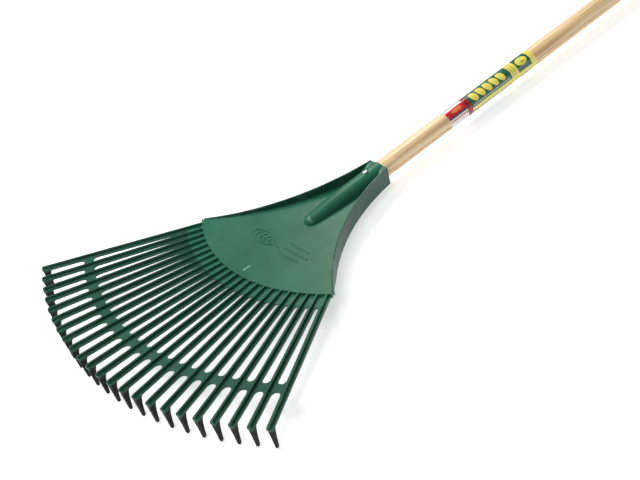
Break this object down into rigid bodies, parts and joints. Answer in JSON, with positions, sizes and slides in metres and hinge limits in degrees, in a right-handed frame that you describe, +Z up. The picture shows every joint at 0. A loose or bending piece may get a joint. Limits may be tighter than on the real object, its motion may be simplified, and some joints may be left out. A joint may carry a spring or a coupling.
{
  "type": "leaf rake",
  "caption": "Lawn leaf rake: a green moulded fan head with hooked tines, a cross band and side flanges, on a round wooden handle held by one screw.",
  "frame": {"origin": "centre of the whole rake's box, at the level of its lowest hook tips", "axes": "+Y along the handle toward its free end, +Z up out of the ribbed upper face, tines toward -Y"},
  "size_m": [0.5196, 1.583, 0.0437],
  "materials": {
    "moulding": "satin moulded polypropylene",
    "wood": "smooth sanded pale ash, thin clear coat",
    "screw": "bright zinc plate",
    "label": "printed film, green and yellow with a striped band"
  },
  "bodies": {
    "root": {"socket": "moulding", "plate": "moulding", "left_flange": "moulding", "right_flange": "moulding", "tine_01": "moulding", "tine_02": "moulding", "tine_03": "moulding", "tine_04": "moulding", "tine_05": "moulding", "tine_06": "moulding", "tine_07": "moulding", "tine_08": "moulding", "tine_09": "moulding", "tine_10": "moulding", "tine_11": "moulding", "tine_12": "moulding", "tine_13": "moulding", "tine_14": "moulding", "tine_15": "moulding", "tine_16": "moulding", "tine_17": "moulding", "tine_18": "moulding", "tine_19": "moulding", "tine_20": "moulding", "tine_21": "moulding", "tine_22": "moulding", "tine_23": "moulding", "cross_band_01": "moulding", "cross_band_02": "moulding", "cross_band_03": "moulding", "cross_band_04": "moulding", "cross_band_05": "moulding", "cross_band_06": "moulding", "cross_band_07": "moulding", "cross_band_08": "moulding", "cross_band_09": "moulding", "cross_band_10": "moulding", "cross_band_11": "moulding", "cross_band_12": "moulding", "cross_band_13": "moulding", "cross_band_14": "moulding", "cross_band_15": "moulding", "cross_band_16": "moulding", "cross_band_17": "moulding", "cross_band_18": "moulding", "cross_band_19": "moulding", "cross_band_20": "moulding", "cross_band_21": "moulding", "cross_band_22": "moulding", "handle": "wood", "fixing_screw": "screw", "handle_label": "label"}
  },
  "joints": []
}
